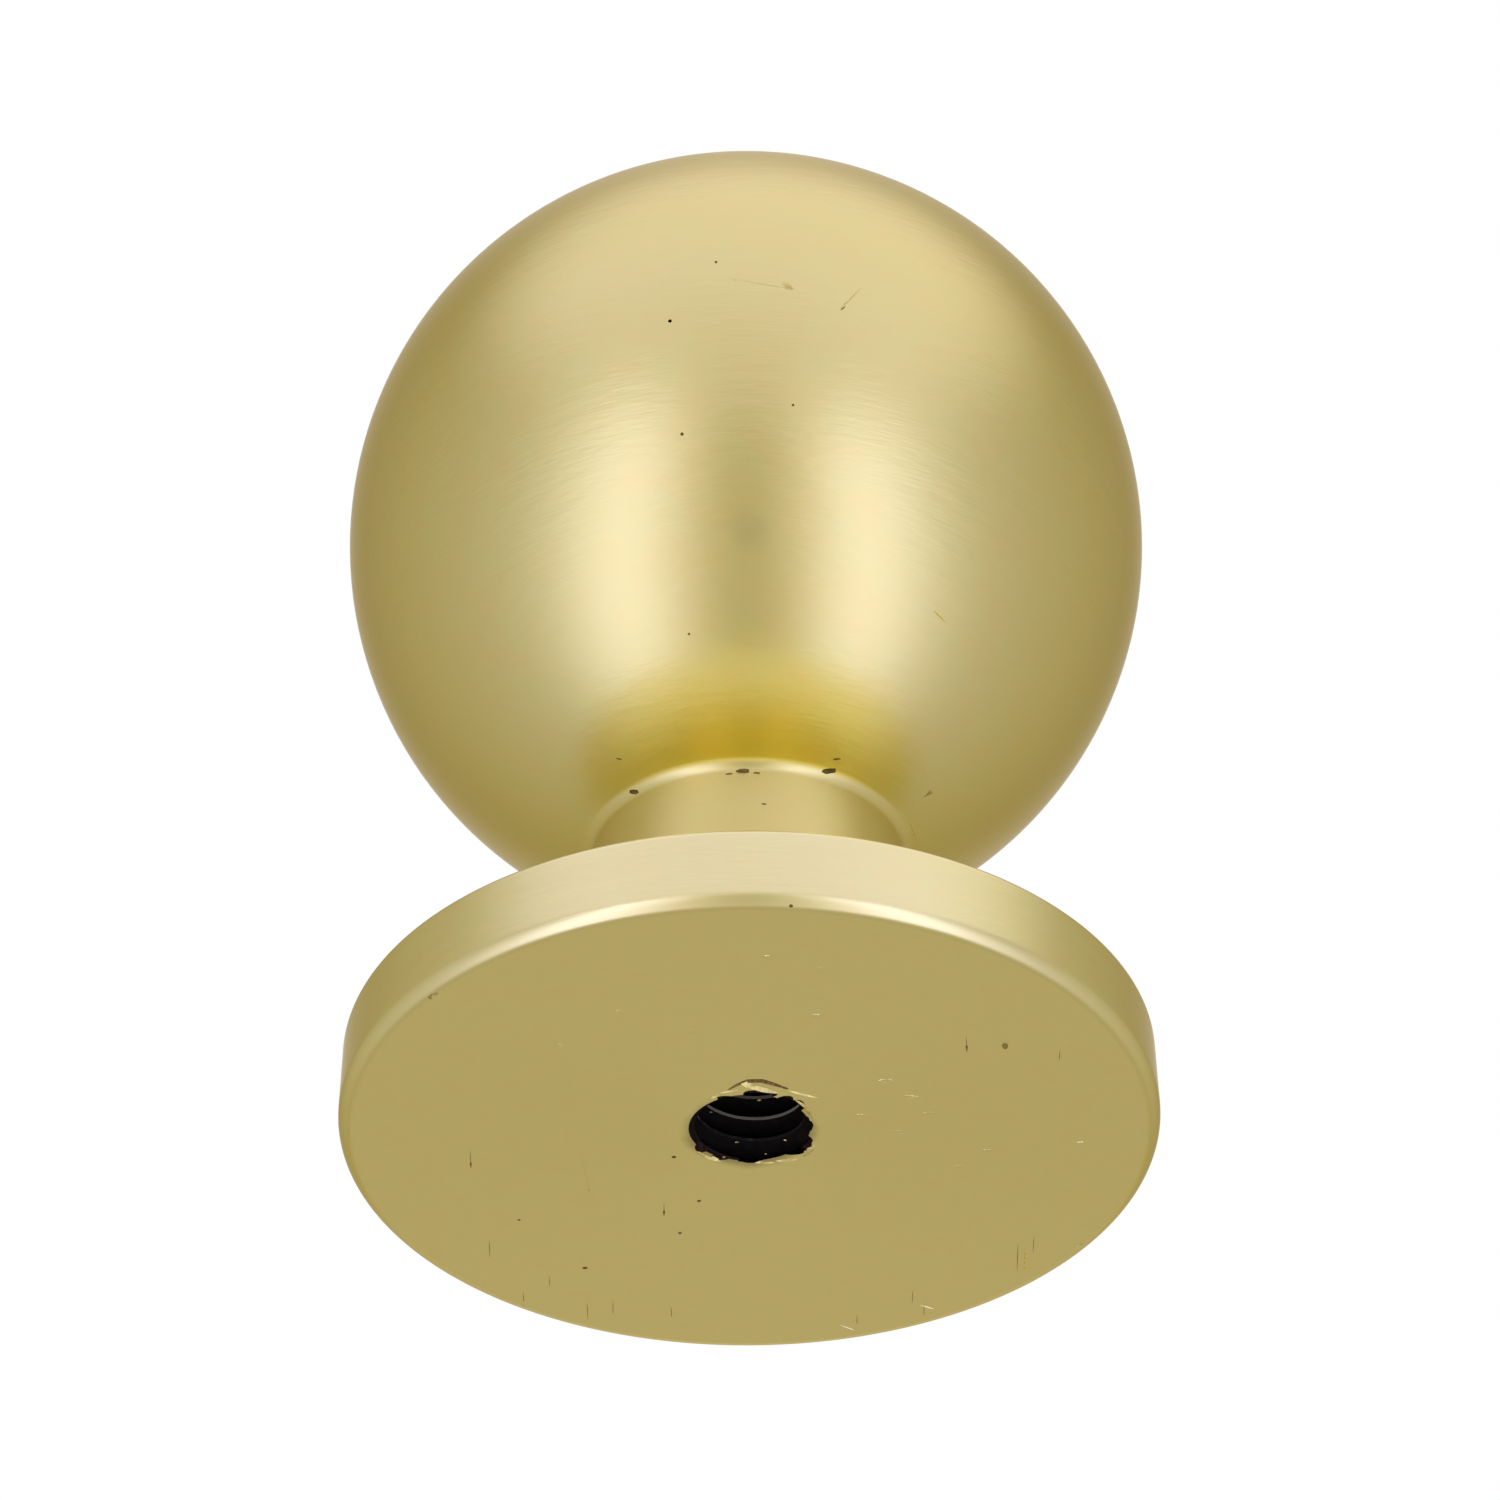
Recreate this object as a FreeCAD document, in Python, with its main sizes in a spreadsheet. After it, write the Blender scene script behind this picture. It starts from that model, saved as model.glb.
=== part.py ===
import FreeCAD, Part
import Sketcher
import math
import os

# A ball knob for a drawer or a cabinet door, cast in one piece, plated, and tapped for a screw
# that comes through the front from behind.
# The knob's axis is +Z. The flat mounting face lies at z = 0 with its centre at the origin, and
# the ball points up.

doc = FreeCAD.newDocument("CabinetKnob")

# Driving sizes, in millimetres and degrees

driving_sizes = {
    # The round base, whose side leans in a little towards the top so that it leaves its mould
    "base_diameter": 25.8,
    "base_height": 2.85,
    "base_draft_angle": 3.2,
    "base_lower_edge_radius": 0.43,
    "base_upper_edge_radius": 0.25,
    # The neck, from the base's top face up to where it runs into the ball
    "neck_diameter": 9.8,
    "neck_length": 7.75,
    "neck_foot_fillet": 0.5,
    "neck_ball_fillet": 0.47,
    # The ball, one inch across
    "ball_diameter": 25.4,
    # The blind hole, drilled to be tapped for a number 8 screw with 32 turns to the inch
    "tap_drill_diameter": 3.45,
    "tap_drill_depth": 12.0,
    "drill_point_angle": 118.0,
}

sizes = doc.addObject("Spreadsheet::Sheet", "Sizes")
for row, (name, value) in enumerate(driving_sizes.items(), start=1):
    sizes.set(f"A{row}", name)
    sizes.set(f"B{row}", str(value))
    sizes.setAlias(f"B{row}", name)
doc.recompute()


def size(name):
    """One driving size, as a number."""
    return float(sizes.get(name))


def start_of(line):
    """The first end of a sketch's line or arc, as a constraint names it."""
    return (line, 1)


def end_of(line):
    """The last end of a sketch's line or arc."""
    return (line, 2)


def centre_of(arc):
    """The centre of a sketch's arc or circle."""
    return (arc, 3)


def sketch_origin():
    """The sketch's own origin, which is the knob's axis at the mounting face."""
    return start_of(-1)


def upright_axis():
    """The sketch's own upright axis, as a constraint names it."""
    return -2


def add_sketch(body, name, role):
    """An empty sketch on the plane of the body's own origin that has this role."""
    plane = next(feature for feature in body.Origin.OriginFeatures if feature.Role == role)
    sketch = body.newObject("Sketcher::SketchObject", name)
    sketch.AttachmentSupport = [(plane, "")]
    sketch.MapMode = "FlatFace"
    return sketch


def constrain(sketch, kind, *what):
    """One geometric condition of a sketch."""
    sketch.addConstraint(Sketcher.Constraint(kind, *what))


def dimension(sketch, name, expression, kind, *what):
    """One dimension of a sketch, named and tied to the driving sizes."""
    index = sketch.addConstraint(Sketcher.Constraint(kind, *what))
    sketch.renameConstraint(index, name)
    sketch.setExpression(f"Constraints.{name}", expression)


def round_edge(shape, radius, height):
    """The name of the circular edge of this radius, at this height on the knob's axis."""
    tolerance = 0.001
    for index, edge in enumerate(shape.Edges, start=1):
        if not isinstance(edge.Curve, Part.Circle):
            continue
        if abs(edge.Curve.Radius - radius) > tolerance:
            continue
        if abs(edge.Curve.Center.z - height) > tolerance:
            continue
        return f"Edge{index}"
    raise RuntimeError(f"no circular edge of radius {radius:.3f} at height {height:.3f}")


def add_fillet(body, name, radius, height):
    """Round one circular edge of the body by the driving size that has the fillet's name."""
    base = body.Tip
    fillet = body.newObject("PartDesign::Fillet", name)
    fillet.Base = (base, [round_edge(base.Shape, radius, height)])
    fillet.setExpression("Radius", f"Sizes.{name}")
    doc.recompute()


# Where the sizes put the corners of the knob's half section

base_radius = size("base_diameter") / 2
base_height = size("base_height")
base_lean = base_height * math.tan(math.radians(size("base_draft_angle")))
base_top_radius = base_radius - base_lean
neck_radius = size("neck_diameter") / 2
neck_top = base_height + size("neck_length")
ball_radius = size("ball_diameter") / 2
ball_centre = neck_top + math.sqrt(ball_radius**2 - neck_radius**2)
neck_top_angle = math.atan2(neck_top - ball_centre, neck_radius)

mounting_centre = FreeCAD.Vector(0, 0, 0)
base_bottom_corner = FreeCAD.Vector(base_radius, 0, 0)
base_top_corner = FreeCAD.Vector(base_top_radius, base_height, 0)
neck_foot_corner = FreeCAD.Vector(neck_radius, base_height, 0)
neck_top_corner = FreeCAD.Vector(neck_radius, neck_top, 0)
ball_middle = FreeCAD.Vector(0, ball_centre, 0)
ball_pole = FreeCAD.Vector(0, ball_centre + ball_radius, 0)

# The half section, from the axis out along the mounting face and round to the axis again

knob = doc.addObject("PartDesign::Body", "knob")
knob.Label = "knob"
knob.Placement = FreeCAD.Placement()

section = add_sketch(knob, "half_section", "XZ_Plane")
mounting_line = section.addGeometry(Part.LineSegment(mounting_centre, base_bottom_corner))
side_line = section.addGeometry(Part.LineSegment(base_bottom_corner, base_top_corner))
base_top_line = section.addGeometry(Part.LineSegment(base_top_corner, neck_foot_corner))
neck_line = section.addGeometry(Part.LineSegment(neck_foot_corner, neck_top_corner))
ball_circle = Part.Circle(ball_middle, FreeCAD.Vector(0, 0, 1), ball_radius)
ball_arc = section.addGeometry(Part.ArcOfCircle(ball_circle, neck_top_angle, math.pi / 2))
axis_line = section.addGeometry(Part.LineSegment(ball_pole, mounting_centre))

outline = [mounting_line, side_line, base_top_line, neck_line, ball_arc, axis_line]
for line, next_line in zip(outline, outline[1:] + outline[:1]):
    constrain(section, "Coincident", *end_of(line), *start_of(next_line))
constrain(section, "Coincident", *start_of(mounting_line), *sketch_origin())
constrain(section, "Horizontal", mounting_line)
constrain(section, "Horizontal", base_top_line)
constrain(section, "Vertical", neck_line)
constrain(section, "PointOnObject", *centre_of(ball_arc), upright_axis())
constrain(section, "PointOnObject", *end_of(ball_arc), upright_axis())

dimension(section, "base_radius", "Sizes.base_diameter / 2",
          "DistanceX", *start_of(mounting_line), *end_of(mounting_line), base_radius)
dimension(section, "base_height", "Sizes.base_height",
          "DistanceY", *start_of(side_line), *end_of(side_line), base_height)
dimension(section, "base_lean", "Sizes.base_height * tan(Sizes.base_draft_angle * 1 deg)",
          "DistanceX", *end_of(side_line), *start_of(side_line), base_lean)
dimension(section, "neck_radius", "Sizes.neck_diameter / 2",
          "DistanceX", *sketch_origin(), *start_of(neck_line), neck_radius)
dimension(section, "neck_length", "Sizes.neck_length",
          "DistanceY", *start_of(neck_line), *end_of(neck_line), size("neck_length"))
dimension(section, "ball_radius", "Sizes.ball_diameter / 2",
          "Radius", ball_arc, ball_radius)

# The section turned once round the knob's axis

turned_form = knob.newObject("PartDesign::Revolution", "turned_form")
turned_form.Profile = section
turned_form.ReferenceAxis = (section, ["V_Axis"])
turned_form.Angle = 360
doc.recompute()

# The casting's corners, each with its own small radius

add_fillet(knob, "neck_ball_fillet", neck_radius, neck_top)
add_fillet(knob, "neck_foot_fillet", neck_radius, base_height)
add_fillet(knob, "base_upper_edge_radius", base_top_radius, base_height)
add_fillet(knob, "base_lower_edge_radius", base_radius, 0)

# The blind screw hole, up into the neck from the mounting face, with a drill's cone at its end
# The thread is cut into this drilled wall, right from the mounting face.

solid_volume = knob.Shape.Volume
hole_radius = size("tap_drill_diameter") / 2

hole_place = add_sketch(knob, "hole_place", "XY_Plane")
hole_circle = Part.Circle(mounting_centre, FreeCAD.Vector(0, 0, 1), hole_radius)
hole_ring = hole_place.addGeometry(hole_circle)
constrain(hole_place, "Coincident", *centre_of(hole_ring), *sketch_origin())
dimension(hole_place, "hole_radius", "Sizes.tap_drill_diameter / 2",
          "Radius", hole_ring, hole_radius)
doc.recompute()

screw_hole = knob.newObject("PartDesign::Hole", "screw_hole")
screw_hole.Profile = hole_place
screw_hole.Reversed = True
screw_hole.DepthType = "Dimension"
screw_hole.DrillPoint = "Angled"
screw_hole.DrillForDepth = False
screw_hole.setExpression("Diameter", "Sizes.tap_drill_diameter")
screw_hole.setExpression("Depth", "Sizes.tap_drill_depth")
screw_hole.setExpression("DrillPointAngle", "Sizes.drill_point_angle")
doc.recompute()

# Nothing is written unless every feature built, and the hole took away at least its drilled part

for feature in doc.Objects:
    if "Invalid" in feature.State or "Error" in feature.State:
        raise RuntimeError(f"{feature.Name} did not build: {feature.State}")

if knob.Shape.isNull() or not knob.Shape.isValid():
    raise RuntimeError("the knob's shape is empty or not valid")

drilled_volume = math.pi * hole_radius**2 * size("tap_drill_depth")
if solid_volume - knob.Shape.Volume < drilled_volume:
    raise RuntimeError("the screw hole points away from the knob")

os.makedirs("parts", exist_ok=True)
for body in [knob]:
    body.Shape.exportStep(f"parts/{body.Label}.step")
    box = body.Shape.BoundBox
    print(f"{body.Label}: {box.XLength:.3f} x {box.YLength:.3f} x {box.ZLength:.3f} mm,",
          f"{body.Shape.Volume:.1f} cubic mm, {len(body.Shape.Solids)} solid")
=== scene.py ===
# %% [markdown]
# # A ball knob in brushed brass
# The real knob is one small casting: a ball for the fingers, a short neck, and a round base whose
# flat face goes against the drawer. It is brushed as it turns, plated with brass and lacquered, and
# its screw hole is drilled and tapped last, through the finish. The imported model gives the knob's
# place and reach, so it is loaded first.

# %% Load the frame
import math

import bmesh
import bpy
from mathutils import Matrix, Quaternion, Vector, noise
from mathutils.bvhtree import BVHTree


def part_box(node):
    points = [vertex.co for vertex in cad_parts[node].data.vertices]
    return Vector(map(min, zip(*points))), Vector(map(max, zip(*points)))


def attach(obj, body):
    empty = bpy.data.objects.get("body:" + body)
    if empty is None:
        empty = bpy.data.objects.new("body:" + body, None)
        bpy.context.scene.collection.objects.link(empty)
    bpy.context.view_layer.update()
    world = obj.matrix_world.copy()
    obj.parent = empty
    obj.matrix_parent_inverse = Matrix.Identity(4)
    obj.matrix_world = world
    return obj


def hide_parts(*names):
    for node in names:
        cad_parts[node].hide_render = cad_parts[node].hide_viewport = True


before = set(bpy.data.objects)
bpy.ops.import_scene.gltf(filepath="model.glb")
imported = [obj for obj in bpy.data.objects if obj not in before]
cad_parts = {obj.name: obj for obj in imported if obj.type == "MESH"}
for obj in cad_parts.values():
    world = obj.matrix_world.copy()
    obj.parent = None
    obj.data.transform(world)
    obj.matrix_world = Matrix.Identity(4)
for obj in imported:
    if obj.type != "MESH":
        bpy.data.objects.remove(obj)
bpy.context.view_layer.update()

knob_low, knob_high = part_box("knob")
MM = 0.001
print("the packed knob is", [round(side / MM, 2) for side in knob_high - knob_low], "mm")

# %% [markdown]
# ## The camera
# The knob is seen from below, with its flat face towards us, so the camera stands lower than the
# knob and looks up. A near camera would make the base look large beside the ball. The real picture
# was taken from about half a metre with a long lens, and those two together give the same shapes.
# The picture leans by a third of a degree, so the camera does too.

# %% Camera
VIEW_ANGLE = math.radians(-34.32)
LEAN = math.radians(-0.344)
LOOK_AT = Vector((0.09, 0, 14.44)) * MM
DISTANCE = 524.1 * MM
LENS = 395.6
SENSOR = 36

camera_data = bpy.data.cameras.new("camera")
camera_data.lens = LENS
camera_data.sensor_width = SENSOR
camera_data.clip_start = 0.01
camera_data.clip_end = 20
camera = bpy.data.objects.new("camera", camera_data)
bpy.context.collection.objects.link(camera)
away = Vector((0, -math.cos(VIEW_ANGLE), math.sin(VIEW_ANGLE)))
camera.location = LOOK_AT + DISTANCE * away
camera.rotation_mode = "QUATERNION"
camera.rotation_quaternion = (-away).to_track_quat("-Z", "Y") @ Quaternion((0, 0, 1), LEAN)
bpy.context.scene.camera = camera
print("the camera is", [round(v / MM) for v in camera.location], "mm from the knob's foot")

# %% [markdown]
# ## The knob's sizes
# The height comes from the frame. The other sizes are the casting's own, in millimetres, and they
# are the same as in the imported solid.

# %% The casting's sizes
TOP = knob_high.z / MM
BASE_RADIUS = 12.9
BASE_HEIGHT = 2.85
BASE_DRAFT = math.radians(3.2)
LOWER_EDGE_RADIUS = 0.43
UPPER_EDGE_RADIUS = 0.25
NECK_RADIUS = 4.9
NECK_FOOT_FILLET = 0.5
NECK_BALL_FILLET = 0.47
BALL_RADIUS = 12.7
BALL_CENTRE = TOP - BALL_RADIUS
BASE_TOP_RADIUS = BASE_RADIUS - BASE_HEIGHT * math.tan(BASE_DRAFT)
print(f"ball centre {BALL_CENTRE:.2f} mm up, base {2 * BASE_RADIUS:.1f} mm across")

# %% [markdown]
# ## The half section
# A turned shape is drawn as half of its section and then spun round its axis. The section could be
# a list of many points, but each stretch of it is a straight line or an arc, so two helpers draw
# those: one pulls the last vertex straight to a new place, and one turns it about a centre, with
# the same spin that later sweeps the whole section round.

# %% Helpers for a section
def at(radius, height):
    """A point of the section, in metres, from its radius and height in millimetres."""
    return Vector((radius * MM, 0, height * MM))


def line_to(mesh, last, point, pieces=1):
    """Pull the last vertex straight to a point, in equal pieces."""
    step = (point - last.co) / pieces
    for _ in range(pieces):
        start = last.co.copy()
        last = bmesh.ops.extrude_vert_indiv(mesh, verts=[last])["verts"][0]
        last.co = start + step
    return last


def arc_round(mesh, last, centre, angle, steps):
    """Turn the last vertex about a centre in the section's plane, drawing an arc."""
    spun = bmesh.ops.spin(mesh, geom=[last], cent=centre, axis=(0, 1, 0), angle=angle,
                          steps=steps, use_merge=False)
    return next(item for item in spun["geom_last"] if isinstance(item, bmesh.types.BMVert))


def spin_round(mesh, steps):
    """Spin everything a full turn about the knob's axis and close the seam and the poles."""
    bmesh.ops.spin(mesh, geom=mesh.verts[:] + mesh.edges[:], cent=(0, 0, 0), axis=(0, 0, 1),
                   angle=2 * math.pi, steps=steps, use_merge=True)
    bmesh.ops.remove_doubles(mesh, verts=mesh.verts, dist=0.0005 * MM)
    bmesh.ops.recalc_face_normals(mesh, faces=mesh.faces)


def mesh_object(name, mesh):
    """Make an object at the origin from a finished bmesh, shown smooth."""
    data = bpy.data.meshes.new(name)
    mesh.to_mesh(data)
    mesh.free()
    data.shade_smooth()
    piece = bpy.data.objects.new(name, data)
    bpy.context.collection.objects.link(piece)
    return piece


# %% [markdown]
# The ball's arc starts at its pole and stops where the neck's fillet touches it. A fillet's centre
# lies one radius off both surfaces, so its height comes from the triangle between the ball's
# centre, the fillet's centre and the axis.

# %% Draw the ball, the neck and the fillets
AROUND = 288
BALL_STEPS = 84
EDGE_STEPS = 12

fillet_centre_radius = NECK_RADIUS + NECK_BALL_FILLET
fillet_reach = BALL_RADIUS + NECK_BALL_FILLET
fillet_drop = math.sqrt(fillet_reach**2 - fillet_centre_radius**2)
fillet_lean = math.asin(fillet_centre_radius / fillet_reach)
fillet_centre = at(fillet_centre_radius, BALL_CENTRE - fillet_drop)
foot_centre = at(NECK_RADIUS + NECK_FOOT_FILLET, BASE_HEIGHT + NECK_FOOT_FILLET)

section = bmesh.new()
end = section.verts.new(at(0, TOP))
end = arc_round(section, end, at(0, BALL_CENTRE), math.pi - fillet_lean, BALL_STEPS)
end = arc_round(section, end, fillet_centre, fillet_lean - math.pi / 2, EDGE_STEPS)
end = line_to(section, end, at(NECK_RADIUS, BASE_HEIGHT + NECK_FOOT_FILLET), pieces=8)
end = arc_round(section, end, foot_centre, -math.pi / 2, EDGE_STEPS)
print("the neck meets the base at radius", round(end.co.x / MM, 2), "mm")

# %% [markdown]
# The base's side leans in by a few degrees, as a casting's must to leave its mould. An edge radius
# between the flat and a leaning side takes a little less or more than a quarter turn. The flat ends
# in a narrow ring of its own, so that the soft shading of the edge doesn't spread over the flat.

# %% Draw the base and spin the section
SOFT_RING = 0.04
upper_reach = UPPER_EDGE_RADIUS * math.tan(math.pi / 4 - BASE_DRAFT / 2)
upper_centre = at(BASE_TOP_RADIUS - upper_reach, BASE_HEIGHT - UPPER_EDGE_RADIUS)
lower_reach = LOWER_EDGE_RADIUS * math.tan(math.pi / 4 + BASE_DRAFT / 2)
lower_centre = at(BASE_RADIUS - lower_reach, LOWER_EDGE_RADIUS)
flat_radius = BASE_RADIUS - lower_reach - SOFT_RING
side_out = Vector((math.cos(BASE_DRAFT), 0, math.sin(BASE_DRAFT)))

end = line_to(section, end, at(BASE_TOP_RADIUS - upper_reach, BASE_HEIGHT), pieces=6)
end = arc_round(section, end, upper_centre, math.pi / 2 - BASE_DRAFT, EDGE_STEPS)
end = line_to(section, end, lower_centre + LOWER_EDGE_RADIUS * MM * side_out, pieces=4)
end = arc_round(section, end, lower_centre, math.pi / 2 + BASE_DRAFT, EDGE_STEPS)
end = line_to(section, end, at(flat_radius, 0))
end = line_to(section, end, at(0, 0), pieces=6)
spin_round(section, AROUND)
knob = mesh_object("brass_knob", section)
print("the turned knob has", len(knob.data.polygons), "faces")

# %% [markdown]
# ## Finding a mark's place
# Casting pits, specks and scratches have no size of their own to work from: they are where they
# happen to be. Each is placed by its pixel in the 1500 pixel picture. A ray from the camera through
# that pixel meets the knob at the mark's real place, so the mark sits on the metal from any side.

# %% A ray through a pixel
PICTURE = 1500
surface = BVHTree.FromObject(knob, bpy.context.evaluated_depsgraph_get())


def spot(pixel):
    """The point of the knob that a pixel shows, and the surface's outward direction there."""
    across = (pixel[0] / PICTURE - 0.5) * SENSOR / LENS
    down = (pixel[1] / PICTURE - 0.5) * SENSOR / LENS
    ray = camera.rotation_quaternion @ Vector((across, -down, -1))
    point, normal, _, _ = surface.ray_cast(camera.location, ray.normalized())
    return point, normal


print("the middle pixel shows a point", round(spot((750, 750))[0].z / MM, 1), "mm up")

# %% [markdown]
# ## Cutting metal away
# Holes and pits could be modelled into the section, but only round ones. Real ones are cut into the
# finished casting, so they are cut here too: a cutter of the tool's or the flaw's shape is taken
# away with a boolean. The exact solver keeps thin edges clean, and the cut walls keep the cutter's
# material, as a real cut shows the bare metal under the plating.

# %% The cut
def cut(piece, cutter):
    """Take the cutter away from the piece and delete it."""
    modifier = piece.modifiers.new("cut", "BOOLEAN")
    modifier.operation = "DIFFERENCE"
    modifier.solver = "EXACT"
    modifier.material_mode = "TRANSFER"
    modifier.object = cutter
    view = bpy.context.evaluated_depsgraph_get()
    whole = piece.data
    piece.data = bpy.data.meshes.new_from_object(piece.evaluated_get(view))
    piece.modifiers.clear()
    bpy.data.meshes.remove(whole)
    bpy.data.objects.remove(cutter)


# %% [markdown]
# ## The screw hole
# The hole is drilled with a 118 degree drill and then tapped for a number 8 screw with 32 threads
# to the inch. A thread could be a stack of rings, but then no crest would climb. The tap's tooth is
# swept along its helix instead: spin with a small lift each step makes exactly that. The drill's
# wall stays as the worn, shiny crests of the thread, and the tap's flanks are painted near black, as
# painted shade deep in the hole, so each cutter carries a material of its own.

# %% The drill
TAP_DRILL_RADIUS = 1.725
TAP_DRILL_DEPTH = 12.0
DRILL_POINT = math.radians(118)
OVERRUN = 1.0
HOLE_STEPS = 64

brass = bpy.data.materials.new("brushed_brass_lacquered")
crest_metal = bpy.data.materials.new("burnished_zinc_crests")
# The flanks' material is painted shade, near black.
flank_painted_shade = bpy.data.materials.new("thread_flanks_in_painted_shade")
knob.data.materials.append(brass)

drill = bmesh.new()
end = drill.verts.new(at(0, -OVERRUN))
end = line_to(drill, end, at(TAP_DRILL_RADIUS, -OVERRUN))
end = line_to(drill, end, at(TAP_DRILL_RADIUS, TAP_DRILL_DEPTH))
end = line_to(drill, end, at(0, TAP_DRILL_DEPTH + TAP_DRILL_RADIUS / math.tan(DRILL_POINT / 2)))
spin_round(drill, HOLE_STEPS)
drill_bit = mesh_object("drill_bit", drill)
drill_bit.data.materials.append(crest_metal)
cut(knob, drill_bit)
print("after drilling the knob has", len(knob.data.polygons), "faces")

# %% The tap
PITCH = 25.4 / 32
MAJOR_RADIUS = 4.166 / 2
ROOT_FLAT = PITCH / 8
THREAD_FLANK = math.radians(30)
THREAD_DEPTH = 10.0
TOOTH_OVERLAP = 0.1
CREST_WEAR = 0.11
THREAD_START = math.radians(90)
LEAD_IN_TURNS = 2

tooth_foot = TAP_DRILL_RADIUS - TOOTH_OVERLAP
half_foot = ROOT_FLAT / 2 + CREST_WEAR + (MAJOR_RADIUS - tooth_foot) * math.tan(THREAD_FLANK)
tap = bmesh.new()
tooth = [tap.verts.new(at(radius, height)) for radius, height in (
    (tooth_foot, -half_foot), (MAJOR_RADIUS, -ROOT_FLAT / 2),
    (MAJOR_RADIUS, ROOT_FLAT / 2), (tooth_foot, half_foot))]
bmesh.ops.contextual_create(tap, geom=tooth)
bmesh.ops.delete(tap, geom=tap.faces[:], context="FACES_ONLY")
bmesh.ops.translate(tap, verts=tap.verts, vec=(0, 0, (PITCH / 2 - LEAD_IN_TURNS * PITCH) * MM))
bmesh.ops.rotate(tap, verts=tap.verts, cent=(0, 0, 0), matrix=Matrix.Rotation(THREAD_START, 3, "Z"))
turns = LEAD_IN_TURNS + THREAD_DEPTH / PITCH
bmesh.ops.spin(tap, geom=tap.verts[:] + tap.edges[:], cent=(0, 0, 0), axis=(0, 0, 1),
               dvec=(0, 0, PITCH * MM / HOLE_STEPS), angle=2 * math.pi * turns,
               steps=round(turns * HOLE_STEPS), use_merge=False)
bmesh.ops.holes_fill(tap, edges=[edge for edge in tap.edges if edge.is_boundary])
bmesh.ops.recalc_face_normals(tap, faces=tap.faces)
thread_tap = mesh_object("thread_tap", tap)
thread_tap.data.materials.append(flank_painted_shade)
cut(knob, thread_tap)
print("after tapping the knob has", len(knob.data.polygons), "faces")

# %% [markdown]
# ## Pits, specks and burrs
# Gas bubbles in the casting leave pits that the plating can't fill, mostly in the neck's fillet,
# and the tap tears a ragged lip round the hole. These are all lumps of no regular shape, so one
# helper makes them: a small ball, stretched to a real length, width and depth, roughened with noise
# and set on the surface. Some are cut from the knob, and some stay on it as raised metal.

# %% A lump on the surface
ROUGHEN = 0.28
ROUGH_GRAIN = 1.7
NOISE_SPREAD = 40


def lump(mesh, pixel, length, width, depth, turn=0, rise=0):
    """Add a rough lump where the pixel shows, turned clockwise in degrees and raised by rise."""
    point, outward = spot(pixel)
    right = camera.rotation_quaternion @ Vector((1, 0, 0))
    along = right.cross(outward).cross(outward).normalized()
    along = Quaternion(outward, math.radians(turn)) @ -along
    frame_axes = Matrix((along, outward.cross(along), outward)).transposed().to_4x4()
    size = Matrix.Diagonal((length / 2 * MM, width / 2 * MM, depth * MM, 1))
    centre = Matrix.Translation(point + rise * MM * outward)
    ball = bmesh.ops.create_icosphere(mesh, subdivisions=3, radius=1)["verts"]
    for vert in ball:
        vert.co *= 1 + ROUGHEN * noise.noise(ROUGH_GRAIN * vert.co + NOISE_SPREAD * point / MM)
    bmesh.ops.transform(mesh, matrix=centre @ frame_axes @ size, verts=ball)


# %% [markdown]
# A scratch, or a sliver of torn metal, is long and thin. It could be a row of lumps, but it would
# look like beads. A three-cornered section is carried along it instead, from pixel to pixel, and
# grows thinner to both ends. Height points out of the metal for a sliver, and into it for a
# scratch, whose blade is then cut from the knob.

# %% A blade along a path
BLADE_STEP = 5
BLADE_SINK = 0.03
BLADE_TIP = 0.2


def blade(mesh, path, width, height):
    """Sweep a pointed section along a path of pixels, with its width and height in millimetres."""
    places = []
    for start, stop in zip(path, path[1:]):
        pieces = max(2, round(math.dist(start, stop) / BLADE_STEP))
        for i in range(pieces):
            places.append(spot([a + (b - a) * i / pieces for a, b in zip(start, stop)]))
    places.append(spot(path[-1]))
    sink = -math.copysign(BLADE_SINK, height)
    half = width / 2 * (1 - sink / height)
    tip = mesh.faces.new([mesh.verts.new(corner) for corner in (
        (-half * MM, 0, sink * MM), (half * MM, 0, sink * MM), (0, 0, height * MM))])
    carried = Matrix.Identity(4)
    for i, (point, outward) in enumerate(places):
        ahead = (places[min(i + 1, len(places) - 1)][0] - places[max(i - 1, 0)][0]).normalized()
        axes = Matrix((outward.cross(ahead), -ahead, outward)).transposed().to_4x4()
        taper = BLADE_TIP + (1 - BLADE_TIP) * math.sin(math.pi * i / (len(places) - 1))
        placed = Matrix.Translation(point) @ axes @ Matrix.Scale(taper, 4)
        if i:
            grown = bmesh.ops.extrude_face_region(mesh, geom=[tip])["geom"]
            tip = next(item for item in grown if isinstance(item, bmesh.types.BMFace))
        bmesh.ops.transform(mesh, matrix=placed @ carried.inverted(), verts=tip.verts[:])
        carried = placed


# %% [markdown]
# Each pit and chip is written as its pixel and its length, width and depth in millimetres, each
# speck as its pixel and its width, and each scratch as its path, width and depth. The wipe marks
# are hair lines that all run the same way, and share one width. The chips break the hole's round
# edge, so that it looks torn and a little square, as the tap left it.

# %% The marks
PITS = (
    ((634, 792), 0.40, 0.15, 0.10), ((743, 771), 0.42, 0.12, 0.10), ((829, 771), 0.52, 0.18, 0.12),
    ((729, 774), 0.26, 0.06, 0.03), ((757, 773), 0.20, 0.06, 0.03), ((764, 804), 0.17, 0.05, 0.04),
    ((837, 759), 0.26, 0.07, 0.03), ((619, 759), 0.20, 0.06, 0.03), ((434, 998), 0.28, 0.38, 0.08),
)
SPECKS = (
    ((716, 262), 0.08), ((670, 321), 0.12), ((682, 434), 0.11), ((689, 634), 0.08),
    ((793, 405), 0.09), ((928, 795), 0.08), ((1005, 1046), 0.18), ((791, 906), 0.12),
    ((1124, 1083), 0.12), ((1078, 1244), 0.20), ((479, 1210), 0.12), ((519, 1220), 0.10),
    ((585, 1268), 0.16), ((654, 1195), 0.13), ((699, 1201), 0.13), ((680, 1233), 0.12),
    ((674, 1157), 0.15),
)
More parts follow.
